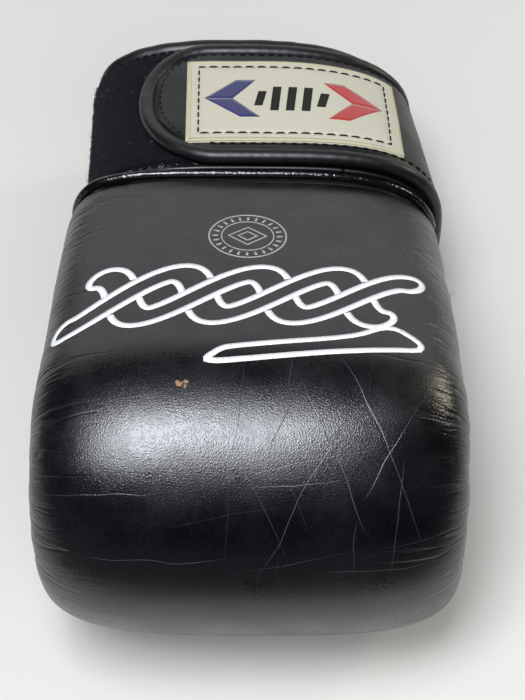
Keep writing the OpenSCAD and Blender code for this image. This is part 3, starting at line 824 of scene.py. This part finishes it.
def thumb_hole():
    """The bound edge of the thumb opening, its stitching and a tuft of frayed thread."""
    s = np.linspace(HOLE_FROM + 1, HOLE_TO - 1, 90)
    ups = MITT.arc(s, back_degrees(s)[1])
    downs = MITT.arc(s, palm_degrees(s)[0]) + MITT.arc(s, -SEAM_DEG) - MITT.arc(s, 360 - SEAM_DEG)
    ring_s, ring_u = np.concatenate([s, s[::-1]]), np.concatenate([ups, downs[::-1]])
    path, out = smooth_loop(MITT.at(ring_s, ring_u, 0.8)), smooth_loop(MITT.normal(ring_s, ring_u))
    join(tube("thumb_hole_rim", path, out, (1.9, 1.7), EDGE_SKIN, closed=True), "mitt", "thumb_hole_binding")
    row = ups - 3.4
    join(stitches("thumb_hole_stitches", MITT.at(s, row, 0.1), MITT.normal(s, row), BLACK_THREAD), "mitt")
    n = 15
    s, u = rng.normal(TUFT_S, 1.2, n), rng.normal(float(MITT.arc(TUFT_S, TUFT_DEG)), 1.0, n)
    sizes = rng.uniform(2, 6, n), rng.uniform(1, 4, n)
    join(fibres("thumb_hole_threads", MITT, s, u, 1.5, *sizes, 0.12, BLACK_THREAD, True), "mitt")


WRIST_FROM, WRIST_TO = 8, 352    # degrees of the section that the piping and the gusset go round


def wrist_piping():
    u = MITT.arc(0.0, np.linspace(WRIST_FROM, WRIST_TO, 320))
    out = MITT.normal(0.5, u)
    path = MITT.fn(0.0, MITT.angle(0.0, u)) + out * 0.8 + (0, WRIST_GAP / 2, 0)
    bumps = lambda q: 1 + 0.05 * np.sin(q / 3.1) * np.sin(q / 7.7)
    join(tube("wrist_piping_cord", path, out, (1.7, 1.7), GLOSS_SKIN, knots=bumps), "mitt", "wrist_piping")


def wrist_gusset():
    """Stretch cloth at the bottom of the channel, tucked under the mitt and the cuff."""
    a = np.radians(np.linspace(WRIST_FROM, WRIST_TO, 170))[None, :]
    k = np.linspace(-0.12, 1.02, 13)[:, None]

    def layer(depth):
        d = depth + 0.35 * np.sin(k * 3 * math.pi)
        return mitt_form(0 * k, a, (d, d, d)) * (1 - k[..., None]) + cuff_form(0 * k, a, d) * k[..., None]

    uv = np.stack(np.broadcast_arrays(k * WRIST_GAP, a * 45), -1)
    cloth_ring = sheet("wrist_gusset_cloth", layer(2.9), layer(3.8), uv, LINING)
    join(cloth_ring, lambda obj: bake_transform(obj), "wrist_gusset")


# ---------------- printed marks

PRINT_LIFT = 0.02
BADGE_S, BADGE_U = 38.8, -1.7


def soften(points, passes=2):
    """Corner cutting, for drawn outlines with rounded corners."""
    p = np.asarray(points, float)
    for _ in range(passes):
        nxt = np.roll(p, -1, 0)
        p = np.stack([p * 0.8 + nxt * 0.2, p * 0.2 + nxt * 0.8], 1).reshape(-1, 2)
    return p


def ribbon_outline(line, out):
    """The closed outline of a ribbon with round ends: line is its middle, out its half width."""
    turn = np.linspace(0, math.pi, 13)[1:-1, None]

    def cap(k, way):
        ahead = np.array([-out[k][1], out[k][0]])
        return line[k] + way * (out[k] * np.cos(turn) + ahead * np.sin(turn))

    return np.concatenate([line + out, cap(-1, 1), (line - out)[::-1], cap(0, -1)])


def twist_band(mid, swing, half, u_from, u_to, turns, width, shear):
    """Two outlined ribbons twisted together, the lower one cut at each crossing."""
    half_wave = (u_to - u_from) / turns
    shortest = 15
    u = np.linspace(u_from, u_to, 241)

    def phase(at):
        return math.pi * (at - u_from) / half_wave

    def centre(ribbon, at):
        return mid + (1 if ribbon else -1) * swing * np.cos(phase(at))

    strips = []
    for ribbon in (0, 1):
        s = centre(ribbon, u)
        slope = np.gradient(s, u)
        out = np.stack([1 / np.hypot(1, slope), -slope / np.hypot(1, slope)], -1) * half
        edge = ribbon_outline(np.stack([s, u], -1), out)
        gap = np.abs(edge[:, 0] - centre(1 - ribbon, edge[:, 1]))
        tilt = math.pi / half_wave * swing * np.sin(phase(edge[:, 1]))
        crossing = np.floor((edge[:, 1] - u_from) / half_wave).astype(int)
        hidden = (gap < (half + width * 0.5) * np.hypot(1, tilt)) & (crossing % 2 == ribbon)
        start = int(np.argmax(hidden))
        edge, hidden = np.roll(edge, -start, 0), np.roll(hidden, -start)
        edge[:, 1] -= shear * (edge[:, 0] - mid)
        shown = np.flatnonzero(~hidden)
        runs = np.split(shown, np.flatnonzero(np.diff(shown) > 1) + 1)
        strips += [outline_strip(edge[run], width, closed=False) for run in runs if len(run) >= shortest]
    return strips


def back_graphic():
    """An outlined twisted band with a long tail across the back."""
    strips = twist_band(72.0, 11.0, 4.3, -53.0, 45.0, 4, 2.3, 0.5)
    tail = [(85.5, 43), (92.5, 53), (97.5, 50.5), (105, -8), (104.5, -14), (99.5, -8.5), (98.5, -3), (94, 30)]
    strips.append(outline_strip(soften(tail), 2.1))
    join(decal("back_graphic", MITT, strips, WHITE_INK, PRINT_LIFT), "mitt")


def badge_points(reach, angles):
    return np.stack([BADGE_S + reach * np.cos(angles), BADGE_U + reach * np.sin(angles)], -1)


def back_badge():
    """A plain ring badge near the wrist: two rings, short spokes between them and two diamonds."""
    ring = np.linspace(0, math.tau, 73)[:-1]
    badge = [outline_strip(badge_points(r, ring), w) for r, w in ((12.7, 0.6), (8.6, 0.45))]
    for k in range(24):
        spoke = badge_points(np.array([9.6, 11.6]), math.tau * k / 24)
        badge.append(outline_strip(spoke, 0.8, closed=False, step=0.7))
    for r in (2.6, 5.2):
        diamond = [(BADGE_S + r * a, BADGE_U + r * b) for a, b in ((1, 0), (0, 1.2), (-1, 0), (0, -1.2))]
        badge.append(outline_strip(diamond, 0.5))
    join(decal("back_badge", MITT, badge, GREY_INK, PRINT_LIFT, across=2), "mitt")


# ---------------- cuff

SLIT_LOW, LIP_EDGE, LIP_BEND = -4.0, 4.0, 52.0
SPLIT_DEG = 72.0                 # the lip's pieces run on past their bend to here, under the loop field
WALL_END = 360 + SLIT_LOW


def arcs(*degrees):
    """The side arcs of a cuff panel between two angles."""
    return lambda s: [CUFF.arc(s, d) for d in degrees]


def on_cuff(s, u, lift):
    """Points on the cuff and their outward directions."""
    return CUFF.at(s, u, lift), CUFF.normal(s, u)


def bend_lip(obj):
    start, end = (CUFF.at(40.0, CUFF.arc(40.0, LIP_BEND + off), -3) for off in (5, -7))
    start[1] = end[1]
    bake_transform(obj)


def cuff_wall(name, nodes, thick, material, lift, s_ends=(0.0, CUFF_LEN), grid=(60, 150), roll=2.0):
    """The part of a wall that stays on the cuff, and the part on the lip."""
    for body, hold, low, high, cols, sides, node in (
        ("cuff", "cuff", SPLIT_DEG, WALL_END, grid[1], "nft", nodes[0]),
        ("lip", bend_lip, LIP_EDGE, SPLIT_DEG - 0.02, 60, "nfx", nodes[1]),
    ):
        look = (thick, material, lift, (grid[0], cols), roll)
        join(panel(f"{body}_{name}", CUFF, s_ends, arcs(high, low), *look, sides=sides), hold, node)


def cuff_pieces():
    for part, thick, lift, material, roll in (
        ("shell", 1.6, 0.0, CUFF_SKIN, 2.0),
        ("foam", 4.7, -1.75, FOAM, 1.0),
        ("lining", 0.8, -6.75, LINING, 0.5),
    ):
        cuff_wall(part + "_wall", (f"cuff_{part}", f"lip_{part}"), thick, material, lift, roll=roll)
    cuff_wall("wrist_band", (None, None), 1.0, EDGE_SKIN, 0.8, (0.3, 4.0), (10, 200), 0.9)
    for name, s, lift in (("wrist", 2.7, 0.85), ("rim", CUFF_LEN - 1.2, 0.1)):
        spans = ("cuff", "cuff", SPLIT_DEG, WALL_END), ("lip", bend_lip, LIP_EDGE + 1, SPLIT_DEG)
        for body, hold, low, high in spans:
            row = on_cuff(s, CUFF.arc(s, np.linspace(low, high, int(high - low))), lift)
            join(stitches(f"{body}_{name}_stitches", *row, BLACK_THREAD, 3.4, 2.6), hold)


def rim_pieces():
    bumps = lambda q: 1 + 0.02 * np.sin(q / 2.3 + 2 * np.sin(q / 9))
    for body, hold, low, high, ends in (
        ("cuff", "cuff", SPLIT_DEG, WALL_END, (False, True)),
        ("lip", bend_lip, LIP_EDGE, SPLIT_DEG, (True, False)),
    ):
        u = CUFF.arc(CUFF_LEN, np.linspace(low, high, int((high - low) * 1.2)))
        path = CUFF.fn(CUFF_LEN, CUFF.angle(CUFF_LEN, u), 3.8) + (0, 3.2, 0)
        out = CUFF.normal(CUFF_LEN - 1, u)
        roll = tube(f"{body}_rim_roll", path, out, (3.6, 4.2), EDGE_SKIN, sides=20, knots=bumps, ends=ends)
        join(roll, hold, f"{body}_rim_binding")


def loop_pieces():
    ends, edges = (4.3, CUFF_LEN - 3), arcs(222, LIP_BEND + 6)
    puff = lambda s, u: 0.12 * field(s, u, (1.3, 1.3), 3.3) + 0.1 * field(s, u, (6.0, 6.0), 7.3)
    pile = panel("loop_pile_field", CUFF, ends, edges, 1.1, PILE, 1.2, (130, 210), 1.2, puff=puff)
    join(pile, "cuff", "loop_field")

    def scatter(count, low, high):
        s = rng.uniform(4.8, CUFF_LEN - 3.4, count)
        return s, CUFF.arc(s, rng.uniform(low, high, count))

    for name, count, span, length, height, free in (
        ("loop_fibres_bare", 6500, (113, 221), (0.6, 1.8), (0.35, 1.0), False),
        ("loop_fibres_under_strap", 1500, (60, 113), (0.6, 1.6), (0.3, 0.8), False),
        ("loop_fibres_stray", 520, (122, 221), (0.6, 2.4), (0.8, 2.2), True),
    ):
        s, u = scatter(count, *span)
        sizes = rng.uniform(*length, count), rng.uniform(*height, count)
        join(fibres(name, CUFF, s, u, 1.05, *sizes, 0.07, FIBRE, free), "cuff")
    lint, on_band = 40, 22
    s, _ = scatter(lint, 95, 200)
    s[:on_band] = rng.uniform(0.4, 3.5, on_band)
    u = CUFF.arc(s, rng.uniform(95, 160, lint))
    sizes = rng.uniform(0.4, 1.6, lint), np.full(lint, 0.2)
    join(fibres("lint_specks", CUFF, s, u, 1.2, *sizes, 0.09, LABEL, True), "cuff")


# ---------------- strap

ROOT_FROM, FOLD_ROOT, TURN_MID, FOLD_TAB = -66.0, -42.0, -14.0, 13.0
TIP_LEN, TIP_POWER = 23.0, 2.1


def strap_arc(degrees):
    return float(CUFF.arc(STRAP_MID, degrees))


def cuff_side_angle(x, lift):
    """Degrees of the place on the little finger's side of the cuff that is at x, lifted off the skin."""
    part = STRAP_MID / CUFF_LEN
    shift, half = CUFF_SHIFT + (RIM_SHIFT - CUFF_SHIFT) * part, CUFF_HALF + (RIM_HALF - CUFF_HALF) * part
    power = CUFF_SQUARE[1] + (RIM_SQUARE[1] - CUFF_SQUARE[1]) * part
    return math.degrees(math.acos(bend((x - shift) / (half + lift), power / 2)))


TIP_U = strap_arc(cuff_side_angle(STRAP_TIP, 6.1))
MID_U, ROOT_U = strap_arc(TURN_MID), strap_arc(ROOT_FROM)


def fold(between, degrees):
    """A hold for a piece across the strap's middle, that only bakes the piece's transform in. between, the
    two bodies, is not used.
    """

    def hold(obj):
        start, end = (CUFF.at(STRAP_MID, strap_arc(d), 4) * MM for d in degrees)
        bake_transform(obj)

    return hold


fold_root = fold(("cuff", "strap_side"), (FOLD_ROOT - 9, FOLD_ROOT + 13))
fold_tab = fold(("strap_side", "strap_tab"), (FOLD_TAB - 9, FOLD_TAB + 15))


def half_width(u):
    inside = np.clip((TIP_LEN - (u - TIP_U)) / TIP_LEN, 0, 1)
    return STRAP_HALF * np.clip(1 - inside**TIP_POWER, 0, 1) ** (1 / TIP_POWER)


def settle(u, lift):
    """The strap's layers come down onto the cuff where its root is sewn."""
    low = strap_arc(FOLD_ROOT - 3)
    return lift * (1 - 0.62 * ease((u - low) / (strap_arc(FOLD_ROOT - 18) - low)))


def strap_sheet(name, u_from, u_to, lift, thick, material, trim=0.0, rows=140, puff=None):
    """A layer of the strap from arc u_from (tip side) to u_to."""
    at_tip = u_from <= TIP_U + 0.01
    t = np.linspace(0, 1, rows)
    if at_tip:
        t = 1 - np.cos(t * math.pi / 2)
    u = ((u_from + trim * at_tip) * (1 - t) + u_to * t)[:, None]
    w = np.maximum(half_width(u - trim * at_tip) - trim, 0.6)
    k = np.linspace(-1, 1, 60)[None, :]
    s = STRAP_MID + w * k
    near = np.minimum(w * (1 - np.abs(k)), (u - u_from) if at_tip else 99)
    u = u + 0 * s
    fall = -0.9 * (1 - ease(near / 3.5)) * min(thick, 1.2)
    high = settle(u, lift)
    top = CUFF.at(s, u, high + fall + (puff(s, u, near) if puff else 0))
    return sheet(name, top, CUFF.at(s, u, high - thick), np.stack([s, u], -1), material)


def strap_edge(inset, u_from, u_to, steps):
    """Both long edges of the strap, joined round the tip when u_from is the tip: (s, u) places."""
    t = np.linspace(0, 1, steps)
    if u_from > TIP_U + 0.01:
        u = u_from * (1 - t) + u_to * t
        return [np.stack([STRAP_MID + k * (STRAP_HALF - inset) + 0 * u, u], -1) for k in (1, -1)]
    u = u_from + (u_to - u_from) * (1 - np.cos(t * math.pi / 2))
    side = np.stack([half_width(u), u], -1)
    loop = np.concatenate([side[::-1], side[1:] * (-1, 1)])
    d = unit(np.gradient(loop, axis=0))
    normal = np.stack([d[:, 1], -d[:, 0]], -1)
    normal *= np.sign(normal[0, 0])
    return [loop - normal * inset + (STRAP_MID, 0)]


def strap_layers():
    pillow = lambda s, u, near: 0.5 * ease(near / 10) + 0.12 * field(s, u, (9.0, 16.0), 2.2)
    for part, lift, thick, material, trim, puff, low_end in (
        ("face", 5.9, 1.2, STRAP_SKIN, 0.0, pillow, ROOT_U),
        ("filler", 4.65, 1.15, BOARD, 1.0, None, strap_arc(FOLD_ROOT)),
        ("backing", 3.4, 0.85, LINING, 0.0, None, ROOT_U),
    ):
        look = (lift, thick, material, trim)
        join(strap_sheet(f"strap_{part}_over", TIP_U, MID_U, *look, 150, puff), fold_tab, f"strap_tab_{part}")
        under = strap_sheet(f"strap_{part}_under", MID_U + 0.02, low_end, *look, 90, puff)
        join(under, fold_root, f"strap_turn_{part}")


def strap_edges():
    """The rolled edge, with small pleats, and the row of stitches inside it."""
    folds = lambda q: 0.014 * np.sin(q / 2.7) * np.sin(q / 6.1 + 1)
    pleats = lambda q: 1 + folds(q) + 0.01 * np.sin(q / 0.75 + 3 * np.sin(q / 7))
    for k, (span, hold, node, round_end) in enumerate((
        ((TIP_U, MID_U), fold_tab, "strap_tab_binding", False),
        ((MID_U + 0.02, ROOT_U), fold_root, "strap_turn_bindings", True),
    )):
        look = {"sides": 18, "knots": pleats, "ends": (False, round_end)}
        for n, edge in enumerate(strap_edge(-1.9, *span, 260)):
            row = on_cuff(*edge.T, settle(edge[:, 1], 4.3))
            join(tube(f"strap_roll_{k}{n}", *row, (3.0, 2.5), EDGE_SKIN, **look), hold, node)
        for n, edge in enumerate(strap_edge(3.0, *span, 110)):
            row = on_cuff(*edge.T, settle(edge[:, 1], 5.75))
            join(stitches(f"strap_stitches_{k}{n}", *row, BLACK_THREAD, 3.6, 2.8), hold)


def strap_root():
    ends = (STRAP_MID - STRAP_HALF + 2, STRAP_MID + STRAP_HALF - 2)
    band = lambda s: (ROOT_U - 0.5 + 0 * s, ROOT_U - 9 + 0 * s)
    patch = panel("strap_root_patch", CUFF, ends, band, 1.0, CUFF_SKIN, 3.2, (80, 16), 0.8)
    join(patch, "cuff", "strap_root")
    s = np.linspace(ends[0] + 2, ends[1] - 2, 60)
    for n, off in enumerate((2.0, 7.5)):
        join(stitches(f"strap_root_stitches_{n}", *on_cuff(s, ROOT_U - off, 3.25), BLACK_THREAD), "cuff")


def hook_sheet():
    spread, band = (STRAP_MID - 24, STRAP_MID + 24), lambda s: (-17 + 0 * s, 3 + 0 * s)
    join(panel("hook_sheet", CUFF, spread, band, 0.75, HOOKS, 2.4, (60, 40), 0.3), fold_tab, "hook_patch")


# ---------------- label

LABEL_SKEW = 0.055               # the label was sewn on slightly askew
LABEL_S = (label_lo.y - cuff_lo.y, label_hi.y - cuff_lo.y)
LABEL_U = (strap_arc(cuff_side_angle(label_lo.x, 7.0)), strap_arc(39.0))
LABEL_AT = (sum(LABEL_S) / 2, sum(LABEL_U) / 2)
STITCH_INSET = 4.4


def askew(s):
    return LABEL_SKEW * (s - LABEL_AT[0])


def label_height(s, u):
    """Crowned cloth, pulled down along its row of stitches."""
    near_u = np.minimum(u - askew(s) - LABEL_U[0], LABEL_U[1] + askew(s) - u)
    near = np.minimum(np.minimum(s - LABEL_S[0], LABEL_S[1] - s), near_u)
    groove = 0.28 * np.exp(-(((near - STITCH_INSET) / 0.9) ** 2))
    return 6.9 + 0.55 * ease(near / 7) - groove + 0.1 * field(s, u, (11.0, 14.0), 5.5)


def label_box(inset):
    a, b, c, d = LABEL_S[0] + inset, LABEL_S[1] - inset, LABEL_U[0] + inset, LABEL_U[1] - inset
    return [(a, c + askew(a)), (a, d + askew(a)), (b, d + askew(b)), (b, c + askew(b))]


def label_cloth():
    edges = lambda s: (LABEL_U[0] + askew(s), LABEL_U[1] + askew(s))
    look = (0.9, LABEL, 0.0, (110, 170), 0.7)
    patch = panel("label_cloth", CUFF, LABEL_S, edges, *look, puff=label_height, bottom=6.0)
    join(patch, fold_tab, "label_patch")
    hem = [outline_strip(label_box(0.95), 1.7, step=2.0)]
    join(decal("label_hem", CUFF, hem, LABEL_EDGE, label_height, 0.12), fold_tab)
    s, u = outline_strip(label_box(STITCH_INSET), 0.01, step=1.2)[0].T
    row = on_cuff(s, u, label_height(s, u) + 0.1)
    join(stitches("label_stitches", *row, BLACK_THREAD, 4.4, 3.6, 0.3), fold_tab)


def label_marks():
    """A pair of woven arrowheads with five slanting bars between them."""
    mid_s, mid_u = LABEL_AT
    for name, sign, look in (("label_mark_left", -1, NAVY), ("label_mark_right", 1, RED)):
        corners = ((0, 31), (0, 21), (11.5, 12), (11.5, 19))
        wings = [filled(*((mid_s + k * a, mid_u + sign * b) for a, b in corners)) for k in (-1, 1)]
        join(decal(name, CUFF, wings, look, label_height, 0.1, across=7), fold_tab)
    slant = ((-1, -2.6), (-1, 0.4), (1, 2.6), (1, -0.4))
    bars = [
        filled(*((mid_s + a * h, mid_u + k + b) for a, b in slant))
        for k, h in ((-11, 4.5), (-5.5, 7.5), (0, 7.5), (5.5, 7.5), (11, 4.5))
    ]
    join(decal("label_mark_bars", CUFF, bars, INK_BLACK, label_height, 0.1, across=4), fold_tab)


# ---------------- stage

PALE = (0.7, 0.705, 0.69)        # the far floor and the backdrop, as the camera sees them
FLOOR_TONES = ((0.425, 0.425, 0.41), (0.455, 0.455, 0.44))
SKY_GLOW, GLOSSY_GLOW = 0.22, 0.014
WORLD_TINT = (0.75, 0.85, 1.0, 1)
LIGHTS = (                       # name, place and size in metres, glow, tint
    ("overhead", (-0.27, -0.33, 1.45), (0.55, 0.8), 23.0, (0.97, 0.98, 1.0)),
    ("wall", (0.0, 1.9, 0.75), (3.2, 1.1), 1.0, (1.0, 1.0, 1.0)),
    ("fill", (1.3, 0.82, 0.72), (0.3, 0.42), 16.0, (1.0, 0.9, 0.7)),
    ("front", (0.1, -1.25, 0.95), (2.4, 1.2), 2.7, (1.0, 1.0, 0.97)),
)
AIM = Vector((0, 0.05, 0.05))


def stage_plane(name, size, place, material):
    bpy.ops.mesh.primitive_plane_add(size=size, location=place)
    plane = bpy.context.object
    plane.name = name
    plane.data.materials.append(material)
    return plane


def table():
    """A pale table that fades into the backdrop, for the camera only."""
    m = Shader("table", "object")
    tone = m.mix(m.fit(m.noise(300.0, 3.0), 0.3, 0.7), *FLOOR_TONES)
    far = m.fit(m.vec("LENGTH", m.place), 650.0, 2400.0)
    glow = m.times(far, m.node("LightPath").outputs["Is Camera Ray"])
    tone = m.mix(far, tone, (0.0, 0.0, 0.0))
    extra = {"Emission Color": (*PALE, 1), "Emission Strength": glow}
    stage_plane("table", 8, (0, 0, 0), m.finish(tone, 0.55, m.bump(m.noise(3.0), 0.05), **extra))


def world():
    """Cool light all round, pale to the camera and dim in reflections."""
    sky = bpy.data.worlds.new("studio")
    sky.use_nodes = True
    nodes, link = sky.node_tree.nodes, sky.node_tree.links.new
    pale, rays, share = (nodes.new("ShaderNode" + kind) for kind in ("Mix", "LightPath", "MapRange"))
    pale.data_type = "RGBA"
    pale.inputs[6].default_value = WORLD_TINT
    pale.inputs[7].default_value = (*(c / SKY_GLOW for c in PALE), 1)
    share.inputs["To Min"].default_value, share.inputs["To Max"].default_value = SKY_GLOW, GLOSSY_GLOW
    link(rays.outputs["Is Glossy Ray"], share.inputs["Value"])
    link(share.outputs[0], nodes["Background"].inputs[1])
    link(rays.outputs["Is Camera Ray"], pale.inputs["Factor"])
    link(pale.outputs[2], nodes["Background"].inputs[0])
    bpy.context.scene.world = sky
    bpy.context.scene.view_settings.view_transform = "Standard"


def lights():
    for name, place, size, glow, tint in LIGHTS:
        light = bpy.data.lights.new(name, "AREA")
        light.shape, light.size, light.size_y, light.color = "RECTANGLE", *size, tint
        light.energy = glow * math.pi * size[0] * size[1]
        lamp = bpy.data.objects.new(name, light)
        lamp.location = place
        lamp.rotation_euler = (AIM - lamp.location).to_track_quat("-Z", "Y").to_euler()
        lamp.visible_camera = False
        lamp.visible_glossy = name != "front"
        bpy.context.scene.collection.objects.link(lamp)


def flag():
    """A dark cloth on the table in front, seen only in reflections."""
    dark = stage_plane("flag", 1, (0, -1.62, 0.002), cloth("flag_cloth", (0.02, 0.02, 0.022)))
    dark.scale = (3.0, 3.0, 1)
    dark.visible_camera = dark.visible_diffuse = dark.visible_shadow = dark.visible_transmission = False


def camera():
    """The camera looks down at the fist from the front, about half a metre away."""
    pitch, turn, distance = math.radians(52.2), math.radians(-0.5), 0.526
    look = Vector((3.5, 29.5, 76)) * MM
    forward = Vector((math.sin(turn) * math.cos(pitch), math.cos(turn) * math.cos(pitch), -math.sin(pitch)))
    data = bpy.data.cameras.new("camera")
    data.lens, data.sensor_width, data.clip_start = 84.1, 36, 0.01
    cam = bpy.data.objects.new("camera", data)
    cam.location = look - forward * distance
    cam.rotation_euler = forward.to_track_quat("-Z", "Y").to_euler()
    bpy.context.scene.collection.objects.link(cam)
    bpy.context.scene.camera = cam


# ---------------- build

for build in (
    mitt_pieces, mitt_plies, fingertip_end, grip, seam_cords, thumb_hole, wrist_piping, wrist_gusset,
    back_graphic, back_badge, cuff_pieces, rim_pieces, loop_pieces, strap_layers, strap_edges, hook_sheet,
    strap_root, label_cloth, label_marks,
):
    build()

for node in frame["nodes"].values():
    node.data.materials.clear()
    node.data.materials.append(FOAM)

for build in (table, world, lights, flag, camera):
    build()
